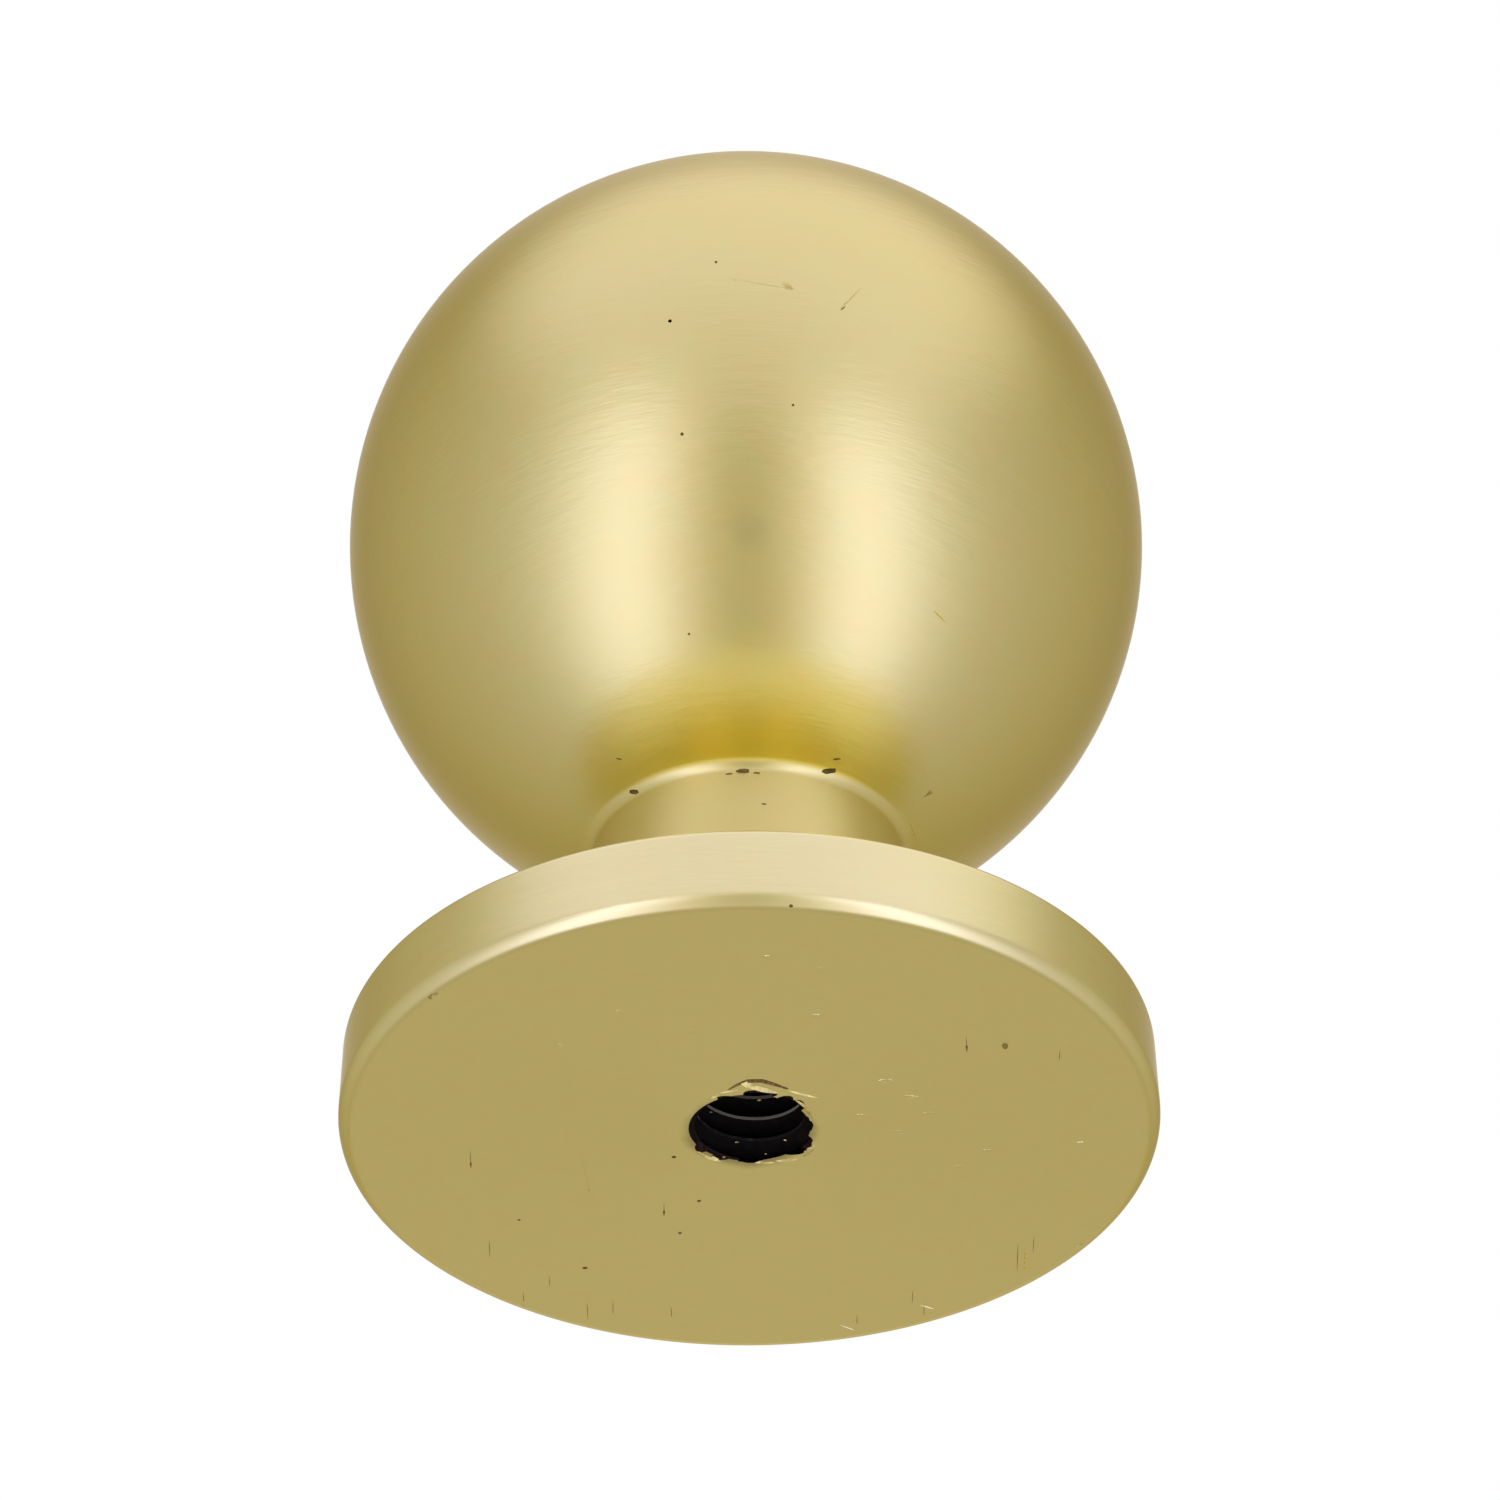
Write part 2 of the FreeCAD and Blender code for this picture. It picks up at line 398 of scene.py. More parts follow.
CHIPS = (
    (((793, 1106), 0.75, 0.70, 0.35), ((802, 1143), 0.70, 0.95, 0.35),
     ((703, 1147), 0.50, 0.62, 0.30), ((760, 1094), 1.10, 0.46, 0.25),
     ((721, 1157), 0.65, 0.34, 0.20)),
    (((803, 1125), 0.60, 1.05, 0.35), ((792, 1151), 0.80, 0.48, 0.30),
     ((727, 1098), 0.70, 0.24, 0.14), ((752, 1161), 0.80, 0.20, 0.14),
     ((786, 1099), 0.55, 0.38, 0.20)),
)
GROOVES = (
    (((728, 1090), (737, 1085), (748, 1081), (762, 1081), (776, 1085), (788, 1089)), 0.22, -0.10),
)
WIPE_MARKS = (
    ((523, 1292), (524, 1306)), ((549, 1276), (550, 1288)), ((587, 1302), (588, 1320)),
    ((613, 1300), (613, 1318)), ((671, 1306), (672, 1322)), ((913, 1290), (912, 1304)),
    ((924, 1304), (924, 1320)), ((1018, 1243), (1017, 1272)), ((1034, 1236), (1033, 1252)),
    ((664, 1203), (664, 1216)), ((489, 1240), (490, 1258)), ((470, 1150), (471, 1168)),
    ((1060, 1050), (1059, 1064)), ((966, 1036), (967, 1052)), ((857, 1314), (857, 1328)),
)
WIPE_WIDTH = 0.022
WIPE_DEPTH = 0.012
SCRATCHES = (
    (((731, 279), (792, 289)), 0.03, -0.012), (((861, 288), (841, 309)), 0.03, -0.012),
    (((934, 611), (946, 623)), 0.05, -0.030), (((1025, 1247), (1024, 1275)), 0.05, -0.020),
    (((840, 1325), (854, 1330)), 0.05, -0.020), (((920, 1305), (934, 1309)), 0.05, -0.020),
    (((773, 1334), (783, 1342)), 0.05, -0.020), (((580, 1148), (590, 1195)), 0.03, -0.012),
    (((909, 822), (914, 833), (918, 845)), 0.08, -0.030),
)
lines = len(GROOVES) + len(WIPE_MARKS) + len(SCRATCHES)
print(len(PITS) + len(SPECKS), "pits and specks,", lines, "lines")

# %% [markdown]
# Pits and grooves show the dull casting, chips show the copper that lies under the brass, and
# scratches stay brass, because the plating went over them. After the last cut, edges
# sharper than a small angle stay crisp, and the flat is shaded flat, so that no mark smears it.

# %% Cut the marks
pit_skin = bpy.data.materials.new("dull_casting_in_the_pits")
chip_skin = bpy.data.materials.new("copper_under_the_brass")
torn = [bmesh.new() for _ in CHIPS]
for mesh, chips in zip(torn, CHIPS):
    for pixel, length, width, depth in chips:
        lump(mesh, pixel, length, width, depth)
flaws = bmesh.new()
for pixel, length, width, depth in PITS:
    lump(flaws, pixel, length, width, depth)
for pixel, across in SPECKS:
    lump(flaws, pixel, across, across, across / 2)
for path, width, height in GROOVES:
    blade(flaws, path, width, height)
for path in WIPE_MARKS:
    blade(flaws, path, WIPE_WIDTH, -WIPE_DEPTH)
scored = bmesh.new()
for path, width, height in SCRATCHES:
    blade(scored, path, width, height)
for mesh, skin in ((torn[0], chip_skin), (torn[1], chip_skin), (flaws, pit_skin), (scored, brass)):
    bmesh.ops.recalc_face_normals(mesh, faces=mesh.faces)
    flaw_cutter = mesh_object("flaw_cutter", mesh)
    flaw_cutter.data.materials.append(skin)
    cut(knob, flaw_cutter)
SHARP = math.radians(20)
knob.data.set_sharp_from_angle(angle=SHARP)
for face in knob.data.polygons:
    if face.normal.z < -0.9999 and face.center.xy.length < flat_radius * MM:
        face.use_smooth = False
print("with its flaws the knob has", len(knob.data.polygons), "faces")

# %% [markdown]
# ## Torn slivers at the mouth
# The tap also pushed metal up. Thin slivers of it stand round the mouth, the largest folded out
# over the hole's far side. They could be cut from the knob's own faces, but separate blades that
# sink a little into the metal are easier to place, and no gap shows. Crumbs of swarf hang inside the
# hole. They are placed on the finished knob, because the rays must now reach the thread's walls.

# %% The slivers
SLIVERS = (
    (((743, 1084), (752, 1087), (777, 1093)), 0.25, 0.10), (((741, 1084), (755, 1086)), 0.24, 0.11),
    (((786, 1090), (800, 1094), (818, 1098)), 0.13, 0.04), (((720, 1093), (738, 1090)), 0.10, 0.04),
    (((708, 1100), (719, 1095)), 0.12, 0.04), (((795, 1100), (805, 1107), (813, 1119)), 0.10, 0.04),
    (((803, 1157), (815, 1146)), 0.18, 0.07), (((755, 1163), (775, 1162.5)), 0.12, 0.05),
    (((776, 1161), (799, 1159)), 0.14, 0.06), (((698, 1152), (708, 1158), (721, 1161.5)), 0.16, 0.05),
)
SWARF = (
    ((759, 1100), 0.16), ((737, 1142), 0.14), ((785, 1140), 0.12), ((766, 1154), 0.11),
    ((711, 1112), 0.12), ((724, 1157), 0.12), ((800, 1150), 0.12),
)
slivers = bmesh.new()
for path, width, height in SLIVERS:
    blade(slivers, path, width, height)
surface = BVHTree.FromObject(knob, bpy.context.evaluated_depsgraph_get())
for pixel, length in SWARF:
    lump(slivers, pixel, length, length / 2, length / 4)
bmesh.ops.recalc_face_normals(slivers, faces=slivers.faces)
torn_slivers = mesh_object("torn_slivers", slivers)
torn_slivers.data.set_sharp_from_angle(angle=SHARP)
standing = -min(vert.co.z for vert in torn_slivers.data.vertices) / MM
print("the slivers stand", round(standing, 3), "mm off the face")

# %% [markdown]
# ## Grit under the plating
# Where grit stuck to the casting, the brass went over it and left low, long bumps, bright on one
# side and dark on the other. A bump map could fake them, but a real bump also shows from the side.
# They are lumps that mostly sink into the metal, with the same brass on them.

# %% The bumps
BUMPS = (
    ((767, 957), 0.24), ((820, 969), 0.24), ((816, 1016), 0.32), ((861, 1116), 0.40),
    ((885, 1081), 0.55), ((910, 1097), 0.55), ((929, 1114), 0.45), ((900, 1132), 0.45),
    ((958, 1167), 0.26), ((987, 1151), 0.32), ((1080, 1143), 0.30), ((661, 162), 0.16),
    ((560, 1046), 0.22), ((618, 1012), 0.22), ((690, 1032), 0.24),
)
BUMP_WIDTH = 0.24
BUMP_HEIGHT = 0.036
BUMP_SINK = 0.016
bumps = bmesh.new()
for pixel, length in BUMPS:
    lump(bumps, pixel, length, BUMP_WIDTH, BUMP_HEIGHT, rise=-BUMP_SINK)
plated_grit = mesh_object("plated_grit", bumps)
print("there are", len(BUMPS), "bumps")

# %% [markdown]
# ## Colours and nodes
# Colours are written as sRGB hex, as a colour picker shows them. The shaders work in linear light,
# so one function turns hex into linear. Another adds a node and links it, so that each line of a
# material below reads as one step, and a third fills a colour ramp.

# %% Helpers for materials
def linear(hex_colour):
    """An sRGB hex colour as linear red, green and blue with full opacity."""
    levels = []
    for i in (1, 3, 5):
        part = int(hex_colour[i:i + 2], 16) / 255
        levels.append(part / 12.92 if part <= 0.04045 else ((part + 0.055) / 1.055) ** 2.4)
    return levels + [1]


def add_node(tree, kind, settings=None, **inputs):
    """Add a node, set its properties, and set or link its inputs by name, or as _0, _1 by place."""
    node = tree.nodes.new(kind)
    for name, value in (settings or {}).items():
        setattr(node, name, value)
    for name, value in inputs.items():
        socket = node.inputs[int(name[1:])] if name[0] == "_" else node.inputs[name.replace("_", " ")]
        if isinstance(value, bpy.types.NodeSocket):
            tree.links.new(value, socket)
        else:
            socket.default_value = value
    return node


def fill_ramp(node, stops):
    """Give a colour ramp its stops, each a position and a linear colour or a grey level."""
    elements = node.color_ramp.elements
    elements.remove(elements[1])
    for i, (position, colour) in enumerate(stops):
        element = elements.new(position) if i else elements[0]
        element.position = position
        element.color = colour if isinstance(colour, (list, tuple)) else (colour, colour, colour, 1)
    return node


print("middle grey #808080 is", round(linear("#808080")[0], 3), "in linear light")

# %% [markdown]
# ## Brushed, lacquered brass
# The real finish is a thin brass plating, brushed as the knob turned, under a satin lacquer. It
# could be one gold colour, but the zones here also carry painted light. The base is paler, as a
# painted highlight for its brightly lit rim, and the neck is darker and warmer, as painted shade
# under the ball. On top of the base the ledge is dark yellow by the neck, as painted shade, and pale
# further out, as painted light. Each zone has its own linear reflectance, chosen by height, and on
# the ledge by radius. A band of paler brass round the fillet under the ball is a painted highlight.
# The values were tuned by comparing renders with the picture in this studio, and were not measured.

# %% The colour of each zone
# The base's paler colour and the fillet's band are painted highlights, the neck's colour is painted
# shade under the ball, and the ledge runs from painted shade to painted light.
BASE_BRASS_AND_PAINTED_HIGHLIGHT = (0.98, 0.89, 0.32, 1)
LEDGE_INNER_PAINTED_SHADE = (0.86, 0.73, 0.01, 1)
LEDGE_OUTER_PAINTED_LIGHT = (1.0, 0.96, 0.58, 1)
NECK_BRASS_AND_PAINTED_SHADE = (0.84, 0.715, 0.165, 1)
FILLET_BRASS_AND_PAINTED_HIGHLIGHT = (0.90, 0.79, 0.22, 1)
BALL_BRASS = (0.86, 0.755, 0.215, 1)
ZONES = (
    (2.7, BASE_BRASS_AND_PAINTED_HIGHLIGHT),
    (3.4, NECK_BRASS_AND_PAINTED_SHADE),
    (10.25, NECK_BRASS_AND_PAINTED_SHADE),
    (10.35, FILLET_BRASS_AND_PAINTED_HIGHLIGHT),
    (10.68, FILLET_BRASS_AND_PAINTED_HIGHLIGHT),
    (10.8, BALL_BRASS),
)
# The ledge's colour goes from painted shade by the neck to painted light further out, by radius.
LEDGE_RADII = ((6.0, LEDGE_INNER_PAINTED_SHADE), (10.2, LEDGE_OUTER_PAINTED_LIGHT))
ON_LEDGE = ((2.7, 0.0), (2.8, 1.0), (3.0, 1.0), (3.3, 0.0))

brass.use_nodes = True
tree = brass.node_tree
tree.nodes.clear()
place = add_node(tree, "ShaderNodeTexCoord").outputs["Object"]
height = add_node(tree, "ShaderNodeSeparateXYZ", Vector=place).outputs["Z"]
level = add_node(tree, "ShaderNodeMapRange", Value=height, From_Max=TOP * MM).outputs["Result"]
heights = fill_ramp(add_node(tree, "ShaderNodeValToRGB", Fac=level),
                    [(up / TOP, colour) for up, colour in ZONES])
across = add_node(tree, "ShaderNodeVectorMath", {"operation": "MULTIPLY"}, _0=place, _1=(1, 1, 0))
radius = add_node(tree, "ShaderNodeVectorMath", {"operation": "LENGTH"}, _0=across.outputs[0])
reach = add_node(tree, "ShaderNodeMapRange", Value=radius.outputs["Value"], From_Max=BASE_RADIUS * MM)
ledge = fill_ramp(add_node(tree, "ShaderNodeValToRGB", Fac=reach.outputs["Result"]),
                  [(out / BASE_RADIUS, colour) for out, colour in LEDGE_RADII])
on_ledge = fill_ramp(add_node(tree, "ShaderNodeValToRGB", Fac=level),
                     [(up / TOP, share) for up, share in ON_LEDGE])
zones = add_node(tree, "ShaderNodeMix", {"data_type": "RGBA"}, _0=on_ledge.outputs["Color"],
                 _6=heights.outputs["Color"], _7=ledge.outputs["Color"])
print("the zones' stops lie", [up for up, _ in ZONES], "mm up")

# %% [markdown]
# Old lacquer drifts a little between green and red over a few millimetres. The middle of the ball is
# painted a little darker, as a painted reflection of the dark camera, and the flat is darker in a
# ragged ring round the hole. They are almost too weak to see as marks, but without them the metal
# looks like plastic. All of them multiply the zones' colours.

# %% Drift, painted camera reflection and dark ring
DRIFT_SIZE = 1.2
DRIFT_EDGES = (0.38, 0.62)
GREENER = (0.978, 1.0, 0.99, 1)
REDDER = (1.0, 0.982, 0.965, 1)
# These two darker spots are a painted reflection of the dark camera in the middle of the ball.
CAMERA_REFLECTIONS = (((745, 523), 0.9, 0.93), ((752, 540), 0.7, 0.95))
CAMERA_REFLECTION_EDGES = (0.6, 1.5)
# The flat is darker in a ragged ring round the hole's mouth.
DARK_RING_REACH = (1.75, 2.25)
DARK_RING_WANDER = 0.5
DARK_RING_TONE = 0.5
FLAT_ENDS = (0.05, 0.2)

wander = add_node(tree, "ShaderNodeTexNoise", Vector=place, Scale=1 / (DRIFT_SIZE * MM), Detail=3.0)
drift = fill_ramp(add_node(tree, "ShaderNodeValToRGB", Fac=wander.outputs[0]), (
    (DRIFT_EDGES[0], GREENER), (DRIFT_EDGES[1], REDDER)))
drifted = add_node(tree, "ShaderNodeMix", {"data_type": "RGBA", "blend_type": "MULTIPLY"},
                   _0=1.0, _6=zones.outputs[2], _7=drift.outputs["Color"])
colours = drifted.outputs[2]
# Each spot darkens the colour towards its middle, as a painted reflection.
for pixel, reach, tone in CAMERA_REFLECTIONS:
    gap = add_node(tree, "ShaderNodeVectorMath", {"operation": "DISTANCE"}, _0=place,
                   _1=spot(pixel)[0])
    ragged = add_node(tree, "ShaderNodeMath", {"operation": "MULTIPLY_ADD"}, _0=wander.outputs[0],
                      _1=reach * MM, _2=gap.outputs["Value"])
    camera_reflection = add_node(tree, "ShaderNodeMapRange", {"interpolation_type": "SMOOTHSTEP"},
                      Value=ragged.outputs[0], From_Min=CAMERA_REFLECTION_EDGES[0] * reach * MM,
                      From_Max=CAMERA_REFLECTION_EDGES[1] * reach * MM, To_Min=tone)
    colours = add_node(tree, "ShaderNodeVectorMath", {"operation": "SCALE"}, _0=colours,
                       Scale=camera_reflection.outputs["Result"]).outputs[0]
ring_edge = add_node(tree, "ShaderNodeMath", {"operation": "MULTIPLY_ADD"}, _0=wander.outputs[0],
                   _1=-DARK_RING_WANDER * MM, _2=radius.outputs["Value"])
dark_ring = add_node(tree, "ShaderNodeMapRange", {"interpolation_type": "SMOOTHSTEP"},
                 Value=ring_edge.outputs[0], From_Min=(DARK_RING_REACH[0] - DARK_RING_WANDER / 2) * MM,
                 From_Max=(DARK_RING_REACH[1] - DARK_RING_WANDER / 2) * MM, To_Min=DARK_RING_TONE)
above_flat = add_node(tree, "ShaderNodeMapRange", Value=height, From_Min=FLAT_ENDS[0] * MM,
                      From_Max=FLAT_ENDS[1] * MM)
dark_ring_part = add_node(tree, "ShaderNodeMath", {"operation": "MAXIMUM"}, _0=dark_ring.outputs["Result"],
                      _1=above_flat.outputs["Result"])
colours = add_node(tree, "ShaderNodeVectorMath", {"operation": "SCALE"}, _0=colours,
                   Scale=dark_ring_part.outputs[0]).outputs[0]
print("the painted_camera_reflections lie", [round(spot(pixel)[0].z / MM, 1) for pixel, _, _ in CAMERA_REFLECTIONS], "mm up")

# %% [markdown]
# Brushing leaves fine lines round the axis. They could be drawn on a texture wrapped round the
# knob, but it would pinch at the ball's pole. The noise here is stretched along x and y and squeezed
# along the height and the radius, so its streaks run round the axis everywhere. Fine streaks sit on
# coarser ones. The brush pressed hardest on the ball, less near the neck, and the flat was only
# wiped, so a ramp over the height sets how strong the streaks are.

# %% Brush marks
STREAK_LENGTH = 0.8
STREAK_WIDTH = 0.08
STREAK_DEPTH = 0.008
WAVE_LENGTH = 1.6
WAVE_WIDTH = 0.35
WAVE_DEPTH = 0.018
BRUSH_PRESSURE = (
    (0.02, 0.15),   # the flat
    (0.3, 0.8),     # the base's side
    (10, 0.4),      # the neck's top
    (14, 0.5),      # the ball's foot
    (18, 1.0),      # the ball
)

pressed = fill_ramp(add_node(tree, "ShaderNodeValToRGB", Fac=level),
                    [(up / TOP, share) for up, share in BRUSH_PRESSURE])
brushed = None
layers = ((WAVE_LENGTH, WAVE_WIDTH, WAVE_DEPTH), (STREAK_LENGTH, STREAK_WIDTH, STREAK_DEPTH))
for length, width, depth in layers:
    lathe = add_node(tree, "ShaderNodeVectorMath", {"operation": "MULTIPLY"}, _0=place,
                     _1=(1 / (length * MM), 1 / (length * MM), 1 / (width * MM)))
    outer = add_node(tree, "ShaderNodeMath", {"operation": "MULTIPLY"}, _0=radius.outputs["Value"],
                     _1=1 / (width * MM))
    streaks = add_node(tree, "ShaderNodeTexNoise", {"noise_dimensions": "4D"},
                       Vector=lathe.outputs[0], W=outer.outputs[0], Scale=1.0, Detail=2.0)
    under = {"Normal": brushed.outputs[0]} if brushed else {}
    brushed = add_node(tree, "ShaderNodeBump", Height=streaks.outputs[0], Distance=depth * MM,
                       Strength=pressed.outputs["Color"], **under)
print("the brush marks are", STREAK_WIDTH, "and", WAVE_WIDTH, "mm wide")

# %% [markdown]
# Brushed metal spreads a highlight across its lines more than along them. The tangent runs round
# the axis, and a quarter turn stretches each highlight up and down the ball, as the softboxes look
# on the real one. The base is smoother, and the lacquer is a clear coat with its own soft shine. A
# tint at grazing angles keeps the ball's outline from turning pale.

# %% The brass shader
BASE_ROUGHNESS = 0.26
LEDGE_ROUGHNESS = 0.20
BALL_ROUGHNESS = 0.31
ROUGHNESS = (
    (2.65, BASE_ROUGHNESS),
    (2.8, LEDGE_ROUGHNESS),
    (3.2, LEDGE_ROUGHNESS),
    (3.6, BALL_ROUGHNESS),
)
GRAZING_TINT = (0.84, 0.80, 0.68, 1)
BRUSHED_SPREAD = 0.35
QUARTER_TURN = 0.25
LACQUER_ROUGHNESS = 0.25

roughs = fill_ramp(add_node(tree, "ShaderNodeValToRGB", Fac=level),
                   [(up / TOP, roughness) for up, roughness in ROUGHNESS])
round_axis = add_node(tree, "ShaderNodeVectorMath", {"operation": "CROSS_PRODUCT"},
                      _0=(0, 0, 1), _1=place)
shader = add_node(tree, "ShaderNodeBsdfPrincipled", Base_Color=colours, Metallic=1.0,
                  Roughness=roughs.outputs["Color"], Normal=brushed.outputs[0],
                  Anisotropic=BRUSHED_SPREAD, Anisotropic_Rotation=QUARTER_TURN,
                  Tangent=round_axis.outputs[0], Coat_Weight=1.0,
                  Coat_Roughness=LACQUER_ROUGHNESS, Specular_Tint=GRAZING_TINT)
add_node(tree, "ShaderNodeOutputMaterial", Surface=shader.outputs[0])
print("the brass has", len(tree.nodes), "nodes")

# %% [markdown]
# ## The metal under the brass
# Pits show dull, olive casting metal, chips show dark copper, the thread's flanks are painted black,
# as painted shade in the hole, and the torn slivers are bare, bright brass. One flat colour each
# would look painted. Real bare metal is patchy, so one function makes them all, with tones that
# wander over a quarter of a millimetre.

# %% Pits, chips, flanks and slivers
PATCH_SIZE = 0.25
PATCH_EDGES = (0.35, 0.65)
DARKEST = 0.6


def bare(material, colour, roughness, metallic, shine):
    """Fill a material with a patchy colour, from six tenths of it up to the full colour."""
    material.use_nodes = True
    tree = material.node_tree
    tree.nodes.clear()
    place = add_node(tree, "ShaderNodeTexCoord").outputs["Object"]
    patches = add_node(tree, "ShaderNodeTexNoise", Vector=place, Scale=1 / (PATCH_SIZE * MM),
                       Detail=2.0)
    dark = [part * DARKEST for part in linear(colour)[:3]] + [1]
    tone = fill_ramp(add_node(tree, "ShaderNodeValToRGB", Fac=patches.outputs[0]),
                     ((PATCH_EDGES[0], dark), (PATCH_EDGES[1], linear(colour))))
    shader = add_node(tree, "ShaderNodeBsdfPrincipled", Base_Color=tone.outputs["Color"],
                      Metallic=metallic, Roughness=roughness, Specular_IOR_Level=shine)
    add_node(tree, "ShaderNodeOutputMaterial", Surface=shader.outputs[0])


sliver_metal = bpy.data.materials.new("bare_torn_brass")
bare(pit_skin, "#94803a", 0.6, 0.0, 0.1)
bare(chip_skin, "#2e1c10", 0.6, 0.0, 0.1)
# The flanks' near black is painted shade inside the hole.
bare(flank_painted_shade, "#18140c", 0.5, 0.0, 0.03)
bare(sliver_metal, "#fae984", 0.35, 1.0, 0.5)
torn_slivers.data.materials.append(sliver_metal)
plated_grit.data.materials.append(brass)
print("the slivers are", sliver_metal.name)

# %% [markdown]
# The thread's crests are rubbed pale by the screw, but the first turns at the mouth are darker, and
# deep ones are painted dark, as painted shade where no light gets. So the crests change with their
# height in the hole.

# %% The thread's crests
CREST_PALE = "#a8a07c"
CREST_DARK = "#2a271e"
CREST_REACH = 4.0
CREST_WANDER = 1.0
# The last dark stop is painted shade deep in the hole.
CREST_TONES = ((1.4, CREST_DARK), (1.8, CREST_PALE), (3.2, CREST_PALE), (3.9, CREST_DARK))

crest_metal.use_nodes = True
tree = crest_metal.node_tree
tree.nodes.clear()
place = add_node(tree, "ShaderNodeTexCoord").outputs["Object"]
height = add_node(tree, "ShaderNodeSeparateXYZ", Vector=place).outputs["Z"]
wander = add_node(tree, "ShaderNodeTexNoise", Vector=place, Scale=1 / (2 * PATCH_SIZE * MM),
                  Detail=2.0)
uneven = add_node(tree, "ShaderNodeMath", {"operation": "MULTIPLY_ADD"}, _0=wander.outputs[0],
                  _1=CREST_WANDER * MM, _2=height)
depth = add_node(tree, "ShaderNodeMapRange", Value=uneven.outputs[0], From_Max=CREST_REACH * MM)
rubbed = fill_ramp(add_node(tree, "ShaderNodeValToRGB", Fac=depth.outputs["Result"]),
                   [(deep / CREST_REACH, linear(colour)) for deep, colour in CREST_TONES])
shader = add_node(tree, "ShaderNodeBsdfPrincipled", Base_Color=rubbed.outputs["Color"],
                  Roughness=0.5, Specular_IOR_Level=0.3)
add_node(tree, "ShaderNodeOutputMaterial", Surface=shader.outputs[0])
pale = [deep - CREST_WANDER / 2 for deep, colour in CREST_TONES if colour == CREST_PALE]
print("the crests are pale from about", round(pale[0], 1), "to", round(pale[-1], 1), "mm deep")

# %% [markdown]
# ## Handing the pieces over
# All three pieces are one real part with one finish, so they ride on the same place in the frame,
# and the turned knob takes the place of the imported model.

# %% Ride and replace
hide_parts("knob")
for piece in (knob, torn_slivers, plated_grit):
    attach(piece, "root")
    print(piece.name, "has", len(piece.data.polygons), "faces")

# %% [markdown]
# ## The floor
# The knob rests on white card. The picture is taken from below the card's level, so a plain floor
# would hide the knob. This one is a ring round the base that can be seen only from above, where it
# keeps a soft shadow, and is clear from below. It could be left out, but other views need a floor.
# Far out it fades to the white of the backdrop, so no edge of it shows.

# %% Floor
FLOOR_INNER = 12.45
FLOOR_OUTER = 1000
FLOOR_FADE = (25, 90)
FLOOR_STEPS = 96
CARD = "#f2f2f2"
WHITE = "#ffffff"
CARD_GLOW = 0.45

floor_mesh = bmesh.new()
bmesh.ops.create_circle(floor_mesh, segments=FLOOR_STEPS, radius=FLOOR_INNER * MM, cap_ends=False)
ring = bmesh.ops.extrude_edge_only(floor_mesh, edges=floor_mesh.edges[:])["geom"]
outer_rim = [item for item in ring if isinstance(item, bmesh.types.BMVert)]
spread = FLOOR_OUTER / FLOOR_INNER
bmesh.ops.scale(floor_mesh, vec=(spread, spread, 1), verts=outer_rim)
bmesh.ops.recalc_face_normals(floor_mesh, faces=floor_mesh.faces)
if floor_mesh.faces[:][0].normal.z < 0:
    bmesh.ops.reverse_faces(floor_mesh, faces=floor_mesh.faces)
floor = mesh_object("floor", floor_mesh)
paper = bpy.data.materials.new("white_card")
floor.data.materials.append(paper)
print("the floor is", len(floor.data.polygons), "faces round the base")

# %% [markdown]
# Card is a matt white. Near the knob it shows its own shade and the knob's shadow. Further out it
# glows at a strength of one, which is the picture's white. Only the camera and clear pieces see it:
# its underside would be dark, and the brass must mirror the studio instead.

# %% The card
paper.use_nodes = True
tree = paper.node_tree
tree.nodes.clear()
place = add_node(tree, "ShaderNodeTexCoord").outputs["Object"]
distance = add_node(tree, "ShaderNodeVectorMath", {"operation": "LENGTH"}, _0=place)
fade = add_node(tree, "ShaderNodeMapRange", {"interpolation_type": "SMOOTHSTEP"},
                Value=distance.outputs["Value"], From_Min=FLOOR_FADE[0] * MM,
                From_Max=FLOOR_FADE[1] * MM)
card = add_node(tree, "ShaderNodeBsdfDiffuse", Color=linear(CARD))
glow = add_node(tree, "ShaderNodeEmission", Color=linear(WHITE), Strength=CARD_GLOW)
near = add_node(tree, "ShaderNodeAddShader", _0=card.outputs[0], _1=glow.outputs[0])
white = add_node(tree, "ShaderNodeEmission", Color=linear(WHITE), Strength=1.0)
lit_card = add_node(tree, "ShaderNodeMixShader", _0=fade.outputs["Result"], _1=near.outputs[0],
                    _2=white.outputs[0])
clear = add_node(tree, "ShaderNodeBsdfTransparent")
ray = add_node(tree, "ShaderNodeLightPath")
seen = add_node(tree, "ShaderNodeMath", {"operation": "MAXIMUM"}, _0=ray.outputs["Is Camera Ray"],
                _1=ray.outputs["Is Transmission Ray"])
under = add_node(tree, "ShaderNodeNewGeometry").outputs["Backfacing"]
from_above = add_node(tree, "ShaderNodeMath", {"operation": "SUBTRACT", "use_clamp": True},
                      _0=seen.outputs[0], _1=under)
one_way = add_node(tree, "ShaderNodeMixShader", _0=from_above.outputs[0], _1=clear.outputs[0],
                   _2=lit_card.outputs[0])
add_node(tree, "ShaderNodeOutputMaterial", Surface=one_way.outputs[0])
print("the card fades to white from", FLOOR_FADE[0], "to", FLOOR_FADE[1], "mm")

# %% [markdown]
# ## The studio
# Polished and brushed metal looks like what stands round it. Lamps as objects would give hard edges
# and a lot of noise, and the ball would show their shapes. The studio is painted in the world
# instead, as the light that comes from each side. Angles are measured round the camera's upright
# axis, from the camera. A tall softbox stands on each side of it, the walls are grey, and the rear
# corners are dim and warm. The real studio isn't known. The stops of both ramps were solved by a
# least squares fit to the picture's brightness and then rounded, so the part that each one is named
# for is a reading of the fit. It made the softboxes violet, and a neutral grey looks bluish in them.

